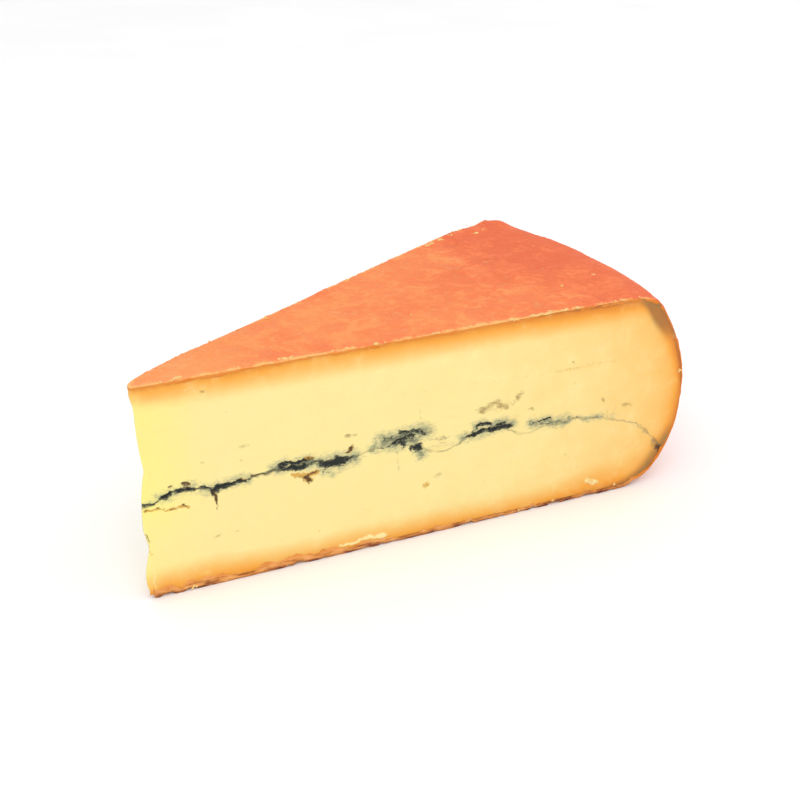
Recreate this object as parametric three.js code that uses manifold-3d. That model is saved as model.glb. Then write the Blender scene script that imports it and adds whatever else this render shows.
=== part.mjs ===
// A wedge cut from a round, washed-rind cheese. The wheel is a turned solid with a flat top and
// bottom and a bulging side, and the wedge is the piece that two knife cuts leave of it.
// The rind has grown on the cheese and the dark line of ash lies inside it, so the wedge is one
// solid. Millimetres, +Z up. The wedge stands on its flat base, its blunt tip points to -X and
// its rind to +X, and the origin is the middle of the base of its bounding box.
import * as THREE from "three";
import { mergeVertices } from "three/addons/utils/BufferGeometryUtils.js";
import Module from "manifold-3d";

// The wheel that the wedge is cut from.
const wheelHeight = 65;
const wheelRadius = 174.5;
const widestHeight = 34; // the height at which the side bulges furthest
const flatRadius = wheelRadius - 22.5; // where the flat top and base end
const shoulderRadius = wheelRadius - 9.5; // the turn from a flat into the side
const topShoulderHeight = 61.2;
const baseShoulderHeight = 5;
const stepsPerBend = 7;
const wheelSegments = 300;

// The two cuts, which meet at the knife point and run out past the rind. The knife point lies
// short of the wheel's centre and to one side of it, so that one cut is longer than the other.
const wedgeAngle = THREE.MathUtils.degToRad(30);
const centreAhead = 24;
const centreAside = 30;
const cutLength = 260;

// The blunt tip: the knife point itself has crumbled away, more on the +Y side.
const frontTipDistance = 10.2;
const backTipDistance = 31;
const tipBend = new THREE.Vector2(13.5, 2.5);
const tipSteps = 8;

const cheeseColour = 0xf6dd98;

const { Manifold, Mesh: SolidMesh } = await prepareManifold();

async function prepareManifold() {
  const wasm = await Module();
  wasm.setup();
  return wasm;
}

// The wheel's half section, from the middle of the top round the side to the middle of the base.
function wheelSection() {
  const section = new THREE.Path();
  section.moveTo(0, wheelHeight);
  section.lineTo(flatRadius, wheelHeight);
  section.bezierCurveTo(
    flatRadius + 6, wheelHeight,
    shoulderRadius - 2, wheelHeight - 1,
    shoulderRadius, topShoulderHeight,
  );
  section.bezierCurveTo(
    shoulderRadius + 3, topShoulderHeight - 4.2,
    wheelRadius, widestHeight + 12,
    wheelRadius, widestHeight,
  );
  section.bezierCurveTo(
    wheelRadius, widestHeight - 14,
    shoulderRadius + 6, baseShoulderHeight + 6,
    shoulderRadius, baseShoulderHeight,
  );
  section.bezierCurveTo(
    shoulderRadius - 3.5, baseShoulderHeight - 3.5,
    flatRadius + 5.5, 0,
    flatRadius, 0,
  );
  section.lineTo(0, 0);
  return section.getPoints(stepsPerBend);
}

// LatheGeometry turns a profile that runs upwards about Y. The section runs down, so it is
// reversed, and the wheel is then stood up along Z.
function wheelGeometry() {
  const profile = wheelSection().reverse();
  return new THREE.LatheGeometry(profile, wheelSegments)
    .rotateX(Math.PI / 2)
    .translate(centreAhead, centreAside, 0);
}

function alongCut(angle, distance) {
  return new THREE.Vector2(Math.cos(angle), Math.sin(angle)).multiplyScalar(distance);
}

// What the two cuts keep, as a tall prism: both cuts and the rounded tip that joins them.
function cutGeometry() {
  const frontTip = alongCut(-wedgeAngle / 2, frontTipDistance);
  const frontEnd = alongCut(-wedgeAngle / 2, cutLength);
  const backEnd = alongCut(wedgeAngle / 2, cutLength);
  const backTip = alongCut(wedgeAngle / 2, backTipDistance);
  const outline = new THREE.Shape();
  outline.moveTo(frontTip.x, frontTip.y);
  outline.lineTo(frontEnd.x, frontEnd.y);
  outline.lineTo(backEnd.x, backEnd.y);
  outline.lineTo(backTip.x, backTip.y);
  outline.quadraticCurveTo(tipBend.x, tipBend.y, frontTip.x, frontTip.y);
  const margin = 5;
  return new THREE.ExtrudeGeometry(outline, {
    depth: wheelHeight + 2 * margin,
    bevelEnabled: false,
    curveSegments: tipSteps,
  }).translate(0, 0, -margin);
}

function toSolid(geometry) {
  geometry.deleteAttribute("normal");
  geometry.deleteAttribute("uv");
  const merged = mergeVertices(geometry, 1e-3);
  return new Manifold(
    new SolidMesh({
      numProp: 3,
      vertProperties: merged.getAttribute("position").array,
      triVerts: new Uint32Array(merged.index.array),
    }),
  );
}

function toGeometry(solid) {
  const { vertProperties, triVerts } = solid.getMesh();
  const geometry = new THREE.BufferGeometry();
  geometry.setAttribute("position", new THREE.BufferAttribute(vertProperties, 3));
  geometry.setIndex(new THREE.BufferAttribute(triVerts, 1));
  geometry.computeVertexNormals();
  return geometry;
}

// Moves the geometry so that the middle of its bounding box lies over the origin.
function centreOverOrigin(geometry) {
  geometry.computeBoundingBox();
  const middle = geometry.boundingBox.getCenter(new THREE.Vector3());
  return geometry.translate(-middle.x, -middle.y, 0);
}

function cheeseWedge() {
  const wedge = toSolid(wheelGeometry()).intersect(toSolid(cutGeometry()));
  const material = new THREE.MeshStandardMaterial({
    color: cheeseColour,
    roughness: 0.55,
    metalness: 0,
  });
  const mesh = new THREE.Mesh(centreOverOrigin(toGeometry(wedge)), material);
  mesh.name = "cheese_wedge";
  return mesh;
}

const cheese = new THREE.Group();
cheese.add(cheeseWedge());

export default cheese;
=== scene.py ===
"""A wedge of washed-rind cheese with a line of ash through it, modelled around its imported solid.

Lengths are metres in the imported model's frame: +Z is up, the blunt tip looks to -X, the rind at the
rim looks to +X, and the two cuts look to -Y (the front cut) and +Y (the back cut).
"""

import itertools
import math

import bpy
import numpy as np
from bpy.props import FloatProperty, FloatVectorProperty, IntProperty, PointerProperty
from mathutils import Matrix, Vector


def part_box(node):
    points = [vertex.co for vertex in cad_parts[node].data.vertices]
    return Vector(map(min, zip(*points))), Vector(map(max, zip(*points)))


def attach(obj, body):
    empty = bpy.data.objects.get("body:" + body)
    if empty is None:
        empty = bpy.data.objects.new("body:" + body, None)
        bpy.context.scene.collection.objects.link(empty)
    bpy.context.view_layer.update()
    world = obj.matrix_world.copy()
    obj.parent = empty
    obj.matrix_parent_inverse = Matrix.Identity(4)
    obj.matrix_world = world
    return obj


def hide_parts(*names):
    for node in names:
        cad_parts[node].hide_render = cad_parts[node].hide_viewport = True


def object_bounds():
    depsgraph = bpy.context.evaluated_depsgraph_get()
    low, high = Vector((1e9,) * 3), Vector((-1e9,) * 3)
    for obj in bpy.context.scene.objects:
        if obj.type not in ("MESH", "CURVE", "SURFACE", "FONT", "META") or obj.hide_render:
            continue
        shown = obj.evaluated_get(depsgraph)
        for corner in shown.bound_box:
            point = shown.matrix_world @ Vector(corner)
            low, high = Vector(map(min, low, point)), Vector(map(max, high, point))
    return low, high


bl_info = {
    "name": "Cheese Wedge",
    "version": (1, 0, 0),
    "blender": (4, 5, 0),
    "location": "View3D > Sidebar > Cheese",
    "description": "Builds a wedge of washed-rind cheese with an ash line: paste, rind, crumbs and stage",
    "category": "Add Mesh",
}

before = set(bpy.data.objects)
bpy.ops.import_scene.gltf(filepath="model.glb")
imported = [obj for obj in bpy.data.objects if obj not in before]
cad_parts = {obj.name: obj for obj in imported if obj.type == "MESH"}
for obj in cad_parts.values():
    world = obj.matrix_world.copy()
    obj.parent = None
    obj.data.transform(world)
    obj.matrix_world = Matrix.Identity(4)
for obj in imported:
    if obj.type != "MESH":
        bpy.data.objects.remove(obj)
CAD_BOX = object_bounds()

NODE = "cheese_wedge"
BODY = "root"
MM = 0.001

# Where the back cut swells and its top edge is worn in, along the cut, and where the crust stands up,
# in plan from the knife point.
BOW_MIDDLE, BOW_REACH = 145 * MM, 42 * MM
WORN_MIDDLE, WORN_REACH = 181 * MM, 9 * MM
CRUST_PLACE, CRUST_REACH = (182.5 * MM, 42 * MM), 4.5 * MM
# The way in which the tip's lip leans: back, and to the +Y side.
LIP_LEAN = (-1.13, 0.41)
# How far the paste and the rind grow into each other, so that no gap opens between them.
OVERLAP = 0.35 * MM


def display(red, green, blue):
    """The scene-linear colour of a display colour given in steps of 255."""
    steps = np.array((red, green, blue)) / 255
    low, high = steps / 12.92, ((steps + 0.055) / 1.055) ** 2.4
    return tuple(float(c) for c in np.where(steps <= 0.04045, low, high))


# ---------------------------------------------------------------------------------------------
# Sizes and colours that a user would change
# ---------------------------------------------------------------------------------------------


def length(name, default, description):
    return FloatProperty(
        name=name,
        description=description,
        default=default,
        min=0.0,
        precision=4,
        unit="LENGTH",
    )


def colour(name, default, description):
    return FloatVectorProperty(
        name=name,
        description=description,
        default=display(*default),
        min=0.0,
        max=1.0,
        size=3,
        subtype="COLOR",
    )


class WheelSizes(bpy.types.PropertyGroup):
    """The wheel that the wedge is cut from"""

    radius: length("Radius", 0.1745, "Radius of the wheel where its side bulges furthest")
    widest: length("Widest height", 0.034, "Height at which the side bulges furthest")
    flat_margin: length("Flat margin", 0.0225, "How far inside the radius the flat top ends")
    shoulder_margin: length("Shoulder margin", 0.0095, "How far inside the radius a shoulder turns")
    top_shoulder: length("Top shoulder", 0.0612, "Height at which the top turns into the side")
    base_shoulder: length("Base shoulder", 0.005, "Height at which the base turns into the side")


class CutSizes(bpy.types.PropertyGroup):
    """The two knife cuts and the blunt tip between them"""

    angle: FloatProperty(
        name="Wedge angle",
        description="Angle between the two cuts",
        default=math.radians(30),
        subtype="ANGLE",
    )
    centre_ahead: length("Centre ahead", 0.024, "Wheel's centre, ahead of the knife point")
    centre_aside: length("Centre aside", 0.030, "Wheel's centre, to the +Y side of the knife point")
    front_tip: length("Front tip", 0.0102, "Where the front cut starts, from the knife point")
    back_tip: length("Back tip", 0.031, "Where the back cut starts, from the knife point")
    tip_bend_ahead: length("Tip bend ahead", 0.0135, "The blunt tip's bend, ahead of the knife point")
    tip_bend_aside: length("Tip bend aside", 0.0025, "The blunt tip's bend, to the +Y side")
    tip_lip: length("Tip lip", 0.0032, "How far the top overhangs the tip's back side")
    bow: length("Back cut bow", 0.0005, "How far the back cut swells where the knife wandered")
    worn: length("Worn corner", 0.0024, "How far the top's edge is worn in near the far corner")
    crust: length("Corner crust", 0.0012, "How far a crust stands up on the far corner")


class RindLook(bpy.types.PropertyGroup):
    """The washed rind on the top, the rim and the base"""

    top_thickness: length("Top thickness", 0.0007, "Thickness of the rind on the top")
    rim_thickness: length("Rim thickness", 0.0009, "Thickness of the rind on the rim")
    base_thickness: length("Base thickness", 0.0017, "Thickness of the rind under the base")
    relief: FloatProperty(
        name="Relief",
        description="How strongly the rind is wrinkled and dimpled",
        default=1.0,
        min=0.0,
        max=2.0,
        subtype="FACTOR",
    )
    orange: colour("Orange", (238, 146, 84), "Rubbed rind near the tip")
    salmon: colour("Salmon", (236, 121, 70), "Rind over most of the top")
    red: colour("Red", (224, 104, 62), "Redder bloom towards the rim")
    peach: colour("Peach", (238, 172, 108), "Pale scuffed patches")
    underside: colour("Underside", (198, 132, 68), "Rind under the base")
    dark: colour("Dark", (84, 44, 28), "Dark specks, mostly along the base")
    crust: colour("Crust", (148, 84, 54), "Flaky crust along the base's edge")
    cut_edge: colour("Cut edge", (214, 124, 36), "Rind seen edge-on in the cuts")
    smeared: colour("Smeared", (240, 196, 122), "Paste smeared over the rind's edge")


class PasteLook(bpy.types.PropertyGroup):
    """The paste inside the rind"""

    core: colour("Core", (235, 217, 149), "Paste far from the rind")
    pale: colour("Pale", (238, 222, 160), "Curds that stayed pale")
    tip: colour("Tip", (234, 223, 132), "Paste at the thin tip, which the light shines through")
    ripe: colour("Ripe", (234, 189, 108), "Paste half-way to the rind's reach")
    gold: colour("Gold", (232, 160, 61), "Paste a few millimetres under the rind")
    amber: colour("Amber", (214, 128, 36), "Paste just under the rind")
    brown: colour("Brown", (176, 102, 40), "Paste where it meets the rind")


class AshLook(bpy.types.PropertyGroup):
    """The ash line and the marks around it"""

    ash: colour("Ash", (34, 38, 38), "Thick ash")
    olive: colour("Olive", (86, 88, 66), "Thin ash with paste showing through")
    haze: colour("Haze", (142, 150, 122), "Paste greyed by ash dust")
    gold: colour("Gold", (200, 148, 50), "Fresh cracks in the paste")
    stain: colour("Stain", (88, 58, 30), "Brown stains in cavities")
    # This colour is the smudges' own colour, and it is also painted shade on the paste under the shoulder
    # and in the tuck at the rim.
    tarnish: colour("Tarnish", (134, 108, 58), "Marks and shoulders that the air has darkened")


class StageLook(bpy.types.PropertyGroup):
    """Floor, lights and camera"""

    floor: colour("Floor", (250, 250, 250), "Colour of the floor")
    key_power: FloatProperty(
        name="Key light",
        description="Power of the big soft light above the camera's left",
        default=4.6,
        unit="POWER",
    )
    fill_power: FloatProperty(
        name="Fill light",
        description="Power of the soft light on the right",
        default=1.6,
        unit="POWER",
    )
    surround: FloatProperty(
        name="Surround",
        description="Brightness of the white surround",
        default=0.98,
    )
    focal_length: FloatProperty(
        name="Focal length",
        description="Camera's focal length on a 36 mm sensor",
        default=62.3,
        unit="CAMERA",
    )
    azimuth: FloatProperty(
        name="Azimuth",
        description="Turn of the camera about the wedge",
        default=math.radians(-39.34),
        subtype="ANGLE",
    )
    elevation: FloatProperty(
        name="Elevation",
        description="Height of the camera above the horizon",
        default=math.radians(24.29),
        subtype="ANGLE",
    )
    roll: FloatProperty(
        name="Roll",
        description="Turn of the camera about its own line of sight",
        default=math.radians(-0.54),
        subtype="ANGLE",
    )
    distance: length("Distance", 0.4497, "From the camera to the point it looks at")


class MeshFineness(bpy.types.PropertyGroup):
    """How many faces the surfaces have"""

    cut_columns: IntProperty(name="Cut columns", description="Columns on each cut", default=356, min=40)
    tip_columns: IntProperty(name="Tip columns", description="Columns on the tip", default=52, min=8)
    cut_rows: IntProperty(name="Cut rows", description="Rows from base to top, even", default=118, min=20)
    top_rows: IntProperty(name="Top rows", description="Rind rows on the top", default=300, min=40)
    side_rows: IntProperty(name="Side rows", description="Rind rows down the rim", default=140, min=20)
    base_rows: IntProperty(name="Base rows", description="Rind rows under the base", default=140, min=40)
    rind_columns: IntProperty(name="Rind columns", description="Columns, cut to cut", default=144, min=16)


# ---------------------------------------------------------------------------------------------
# Marks that the knife shows: places on the front cut in millimetres, from the knife point along
# the cut and up from the base
# ---------------------------------------------------------------------------------------------

# The ash line's course, and the same line on the back cut.
FRONT_COURSE = (
    (9, 30), (13.2, 29.5), (17.6, 31.8), (22, 31.6), (29.5, 30.7), (37, 31.1), (46, 31.8), (54, 32.3),
    (62, 32.1), (68, 30.5), (72, 30.9), (80, 32.4), (91, 33.4), (95.3, 29), (104, 27.4), (110.5, 30.1),
    (120, 30.5), (128.7, 27.2), (137, 28), (148.4, 28.2), (161.4, 25.2), (171.2, 20.8), (177.9, 14.1),
    (181, 10),
)
BACK_COURSE = (
    (28, 30.2), (46, 32), (63, 29.4), (80, 31), (96, 30.2), (113, 33), (131, 30), (150, 29.4),
    (170, 27.5), (184, 23.5), (193, 17), (199.5, 10.5),
)
# How strongly the line itself is drawn: distance along the cut, strength.
FRONT_LINE = (
    (9, 0.85), (20, 1), (40, 1), (47, 1), (56, 1), (72, 0.8), (78, 0.7), (90, 0.8), (97, 0.5),
    (106, 0.5), (112, 1), (123, 0.7), (129, 0.25), (137, 0.4), (150, 0.4), (163, 0.45), (172, 0.55),
    (181, 0.7),
)
BACK_LINE = ((28, 0.8), (60, 0.9), (90, 0.6), (120, 0.9), (150, 0.5), (175, 0.7), (199, 0.8))
# Smears of thick ash: from (along, up) to (along, up), half width, and how thick.
ASH_SMEARS = (
    (9.4, 30.1, 13, 29.6, 0.45, 0.6), (13.4, 29.7, 16.4, 31.2, 0.4, 0.6), (16.4, 31.3, 19, 32, 0.7, 1),
    (21, 32.1, 24, 32, 0.75, 0.9), (24, 31.8, 30, 30.9, 0.4, 0.7), (30.2, 30, 33, 30.7, 0.9, 1),
    (32, 30.5, 35.4, 30.9, 0.75, 1), (35, 30.9, 39.7, 31.6, 0.55, 0.85),
    (39.7, 31.6, 46, 32, 0.35, 0.6), (50.4, 33.6, 57, 33.3, 0.5, 0.9),
    (50.6, 33.2, 51.4, 32.2, 0.45, 0.8), (52.6, 31.9, 57.4, 31.5, 0.75, 1),
    (56.6, 33.2, 60.4, 33.5, 0.4, 0.7), (57, 31.8, 62, 32.2, 0.4, 0.6), (63, 31.1, 69.4, 31, 0.95, 1),
    (63.6, 30.2, 69, 30.2, 0.75, 1), (68.9, 30.9, 72.2, 31.6, 0.4, 0.8),
    (64.3, 30, 63, 28.4, 0.4, 0.75), (80.3, 32, 84.6, 32.3, 0.4, 0.6), (82.3, 35, 84.1, 35, 0.5, 0.65),
    (85.6, 33, 91.5, 34.1, 0.65, 0.8), (87.2, 36.1, 91.4, 35.6, 0.65, 0.72),
    (91, 35.6, 95, 34.2, 0.6, 0.74), (86.7, 33, 88.9, 31.4, 0.75, 0.8), (89.6, 34.8, 94, 35, 0.5, 0.6),
    (91.7, 30.1, 94, 30, 0.85, 0.95), (109.2, 30, 112, 30.3, 0.55, 0.9),
    (112.6, 30.2, 116, 31.1, 0.45, 0.95), (113.2, 32.8, 117, 33.1, 0.55, 0.9),
    (117.2, 31.2, 124.3, 30.7, 0.7, 1), (118, 30.4, 121.5, 30.8, 0.5, 0.9),
    (119.6, 32.2, 123, 32.1, 0.35, 0.85), (110.6, 31.4, 114, 32.6, 0.4, 0.6),
    (133, 30.6, 138, 30.2, 0.35, 0.65), (135, 29, 139.6, 28.4, 0.5, 0.42),
    (144.6, 29, 148.4, 28.4, 0.3, 0.4),
)
# Paste greyed by ash dust around the smears: the same.
ASH_HAZE = (
    (10, 29.9, 15, 30.2, 1.1, 0.5), (15, 31.4, 25, 32.4, 1.7, 0.75), (28, 30.6, 41, 31.6, 1.6, 0.75),
    (49.6, 32.8, 60, 32.8, 2, 0.85), (57, 31.6, 63, 32.2, 1.6, 0.8), (62.5, 30.8, 72.5, 31, 2.5, 0.9),
    (63, 28.2, 66, 27.2, 1.2, 0.6), (78.6, 32.6, 84, 32.6, 1.7, 0.7), (82, 34.4, 96, 35, 2.4, 0.95),
    (84, 32.6, 92, 32.4, 1.9, 0.9), (92.6, 29.4, 94.6, 27.2, 1.6, 0.95),
    (108.6, 30.2, 125, 31.4, 1.8, 0.85), (112, 33, 123, 32.6, 1.6, 0.8),
    (132, 30, 144.5, 28.4, 1.9, 0.85), (144, 28.6, 150, 28.2, 1, 0.5),
    (151, 27.6, 156.5, 27.2, 1.3, 0.7), (157.6, 26.6, 161.4, 26.8, 1.3, 0.4),
    (168, 22, 173, 19, 0.7, 0.3), (172.6, 19, 178, 13, 0.9, 0.35), (97, 29, 109, 28.6, 1, 0.35),
    (96, 32.2, 103, 31, 0.9, 0.4),
)
# Marks that air and the knife left: the same.
SMUDGES = (
    (114.2, 37.4, 116.4, 38.2, 1, 0.8), (117.6, 38.8, 119.6, 39.2, 0.9, 0.8),
    (120.6, 37.8, 122.8, 37.2, 0.9, 0.85), (122.4, 37.2, 125.6, 39.4, 0.5, 0.65),
    (126, 39.9, 127.4, 40.3, 0.7, 0.8), (114, 38, 123, 37.8, 2, 0.3), (94, 41.4, 94.2, 37, 0.4, 0.5),
    (98.9, 31.6, 101.6, 31.3, 0.4, 0.6), (97, 34.7, 97.6, 34.4, 0.5, 0.8),
    (100.6, 30.2, 101.9, 29.8, 0.35, 0.5), (130.9, 35, 131.6, 34.9, 0.55, 0.75),
    (156.5, 32.9, 157, 32.6, 0.6, 0.65), (164.5, 29.9, 166.8, 29.6, 0.8, 0.65),
    (158, 35, 159.4, 35.4, 0.5, 0.4), (145.3, 47.7, 146, 47.6, 0.5, 0.7),
    (143.9, 29.5, 144.4, 29.5, 0.5, 0.9), (158.4, 29.4, 158.6, 27, 0.3, 0.55),
    (161, 29.2, 161.2, 27, 0.3, 0.5), (98.2, 18.7, 101, 19.6, 0.55, 0.6),
    (144, 16.2, 144.8, 16.1, 0.4, 0.5), (30.2, 15.3, 31.8, 16, 0.6, 0.4),
    (36.1, 15.3, 37, 15.6, 0.45, 0.4), (39.1, 41.7, 40.8, 41.6, 0.35, 0.55),
    (38.3, 37.8, 39.4, 37, 0.45, 0.45), (27.8, 39.5, 28.6, 39.4, 0.4, 0.4),
    (71, 38.4, 73.1, 38.3, 0.5, 0.8), (29, 60.2, 30.2, 59.9, 0.4, 0.6), (34, 39.6, 41, 41.2, 2.2, 0.12),
    (56, 49, 66, 47, 2.4, 0.1), (86, 42, 90, 41, 1.6, 0.12), (103, 37.6, 107, 38, 0.5, 0.3),
    (86.7, 30, 87.1, 23.8, 0.45, 0.45), (176.4, 14.6, 179.6, 11, 1.3, 0.6),
)
# Brown cracks and cavities: the same.
STAINS = (
    (31.1, 29.6, 31.2, 26, 0.36, 1), (31.2, 26, 31.2, 23.4, 0.3, 0.75), (9.7, 21, 11, 20.6, 0.3, 0.8),
    (10.8, 20.4, 12, 18.4, 0.3, 0.6), (57.8, 27.9, 59.4, 26.4, 0.7, 1),
    (59, 28.4, 60.6, 28.9, 0.35, 0.8), (55.4, 28.6, 57, 28.3, 0.3, 0.6),
    (57.6, 33.8, 60.4, 33.7, 0.3, 0.75), (71, 32.9, 73.1, 35.1, 0.3, 0.9),
    (178.4, 12, 180.8, 10, 0.9, 0.75), (109.2, 30, 110.4, 30.2, 0.5, 0.8),
    (18.2, 34.2, 19, 34.2, 0.4, 0.75), (22.2, 33.9, 23.8, 33.7, 0.45, 0.85),
    (22.6, 33.4, 22.8, 32, 0.3, 0.7), (14, 28, 15, 27.7, 0.3, 0.6), (18.6, 26.9, 19.4, 27, 0.3, 0.6),
    (21.6, 27.4, 22.6, 27.2, 0.34, 0.7), (11.4, 28.2, 12.2, 28, 0.3, 0.6),
)
# Fresh golden cracks and eyes: the same.
GILT = (
    (11.2, 28.1, 16.4, 27.2, 0.26, 0.8), (17.4, 26.7, 20.5, 27.3, 0.3, 0.8),
    (20.5, 27.3, 23.2, 26.8, 0.34, 0.9), (53.4, 29.5, 57.4, 28.9, 0.5, 0.9),
    (56.6, 28.7, 60.8, 28.6, 0.6, 0.9), (57.8, 27.8, 59.3, 26.6, 0.9, 0.8),
    (95.2, 16.9, 96.6, 16.7, 0.6, 0.7), (57.4, 33.8, 60.6, 33.7, 0.5, 0.6),
    (10.4, 20, 12.2, 14, 0.5, 0.45), (37, 31.9, 44, 32.3, 0.4, 0.3), (42, 31.4, 46, 31.6, 0.4, 0.3),
    (71, 33, 73.1, 35.1, 0.5, 0.5), (87.7, 48, 134, 45.7, 0.6, 0.24),
    (134.3, 45.8, 164.4, 45.4, 0.75, 0.3), (131, 42.5, 142, 42, 0.5, 0.22),
)
# Pale scraps of paste that the knife pulled out: the same.
SCRAPS = (
    (67.6, 2.5, 71.6, 3, 0.4, 0.9), (71.6, 3, 75.9, 4, 0.5, 1), (75.9, 4, 82.2, 3, 0.55, 1),
    (152.8, 5.4, 155.8, 4.5, 0.9, 0.9), (24, 61.6, 27, 62.4, 0.4, 0.5), (12, 3, 12.6, 9, 0.5, 0.5),
)
# The tip's front edge: height, how far it stands back from a straight edge.
TIP_WAVE = (
    (0, 1.3), (1, 0.1), (2.4, 0.2), (5, -0.4), (9.5, -0.3), (13.5, 0.5), (16, 1), (19, 0.5), (22, -0.1),
    (26, -0.1), (30, 0.1), (33.5, 0.5), (37, 1), (39.5, 1.6), (43, 1.3), (48, 0.8), (54, 0.5),
    (59, 0.5), (62, 0.1), (65, 0.3),
)
# Flecks of paste that the knife smeared on the rind: plan place from the knife point, length.
TOP_FLECKS = (
    (22.5, -4.8, 4), (52, -12.6, 2.6), (54, -13.4, 1.4), (120.7, -32, 2.4), (127.6, -33.8, 4.4),
    (132.4, -35, 4.6), (137, -36.2, 4), (140.6, -37.2, 2.4), (96, -25.4, 1.6), (78, -20.6, 1.4),
    (148, 37.9, 3.4), (154.5, 39.4, 3), (160, 40.7, 2.6), (168, 36.6, 4), (173.4, 38.4, 3.4),
    (104, 27, 1.8), (99.9, -9.8, 0.9), (132.2, 21.4, 0.8), (173, 12.8, 1.6), (167, -19.9, 1),
    (151.6, -21, 0.7),
)
# Crumbs on the front cut: along, up, size.
CUT_CRUMBS = (
    (153, 5.2, 1.2), (154.6, 5, 1.4), (155.6, 4.5, 1), (184.9, 38, 1), (80.4, 3.3, 0.8), (82, 2.9, 0.9),
    (24, 0.9, 1.2), (140, 1.4, 0.9), (128, 1, 0.8), (163, 1.8, 0.9),
)


# ---------------------------------------------------------------------------------------------
# Numbers that vary over a surface
# ---------------------------------------------------------------------------------------------


def lattice_noise(points, size, seed):
    """Smooth noise from about -1 to 1 that changes over about size.

    Each corner of a cubic lattice holds a slope drawn from a hash of its place and the seed. A point
    takes the heights of the eight slopes around it, weighted by the ease 6t^5 - 15t^4 + 10t^3.
    """
    place = points / size
    cell = np.floor(place).astype(np.int64)
    inside = place - cell
    ease = inside**3 * (inside * (inside * 6 - 15) + 10)
    total = np.zeros(place.shape[:-1])
    for corner in itertools.product((0, 1), repeat=3):
        key = ((cell + corner) * (73856093, 19349663, 83492791)).sum(-1) + seed * 2654435761
        key = (key ^ (key >> 15)) * 2246822519
        key = (key ^ (key >> 13)) * 3266489917
        slope = np.stack([(key >> shift) & 1023 for shift in (8, 20, 32)], -1) / 511.5 - 1
        weight = np.where(corner, ease, 1 - ease).prod(-1)
        total += weight * (slope * (inside - corner)).sum(-1)
    return total * 1.5


def rough_noise(points, size, seed, octaves=3):
    """Lattice noise with octaves of half the size and half the height added to it."""
    layers = [lattice_noise(points, size / 2**k, seed + k) / 2**k for k in range(octaves)]
    return np.sum(layers, axis=0)


def smooth_curve(knots, x):
    """The smooth curve through the knots (x, y): a cubic between each two, with the slope at a knot
    taken from its neighbours. Beyond the ends it is level."""
    along, up = np.array(knots, float).T
    slope = np.gradient(up, along)
    i = np.clip(np.searchsorted(along, x) - 1, 0, len(along) - 2)
    span = along[i + 1] - along[i]
    t = np.clip((x - along[i]) / span, 0, 1)
    rise = (3 - 2 * t) * t * t
    leave, arrive = t * (1 - t) ** 2, t * t * (1 - t)
    return up[i] + (up[i + 1] - up[i]) * rise + span * (slope[i] * leave - slope[i + 1] * arrive)


def bell(distance, width):
    """1 at no distance, falling as a bell curve of that width."""
    return np.exp(-((distance / width) ** 2))


def step(value, low, high):
    """0 below low, 1 above high, and an eased rise between them."""
    t = np.clip((value - low) / (high - low), 0, 1)
    return t * t * (3 - 2 * t)


def graded(count, end_share):
    """count + 1 numbers from 0 to 1 whose spacing at both ends is end_share of the mean spacing:
    t less a share of sin(2 pi t) / (2 pi)."""
    t = np.linspace(0, 1, count + 1)
    return t - (1 - end_share) * np.sin(2 * np.pi * t) / (2 * np.pi)


def smallest(values, softness):
    """The least of several arrays, rounded where two are nearly equal."""
    stack = np.stack(values)
    least = stack.min(0)
    return least - softness * np.log(np.exp((least - stack) / softness).sum(0))


def stroke_dose(along, up, strokes):
    """How deep each point lies in its strongest stroke: the stroke's strength on its line, half of it
    at the half width, and 0 at twice that. The distance is to the straight piece between the ends."""
    dose = np.zeros(along.shape)
    for x0, y0, x1, y1, half_width, strength in strokes:
        dx, dy = x1 - x0, y1 - y0
        t = np.clip(((along - x0) * dx + (up - y0) * dy) / (dx * dx + dy * dy), 0, 1)
        distance = np.hypot(along - x0 - t * dx, up - y0 - t * dy)
        dose = np.maximum(dose, strength * np.clip(1 - distance / (2 * half_width), 0, 1))
    return dose


# ---------------------------------------------------------------------------------------------
# The wedge's plan and section
# ---------------------------------------------------------------------------------------------


def bezier(start, first, second, end, share):
    """Points at shares of the cubic curve with those four control points."""
    a, b, c, d = (np.asarray(point) for point in (start, first, second, end))
    rest = 1 - share
    return rest**3 * a + 3 * rest * rest * share * b + 3 * rest * share * share * c + share**3 * d


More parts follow.
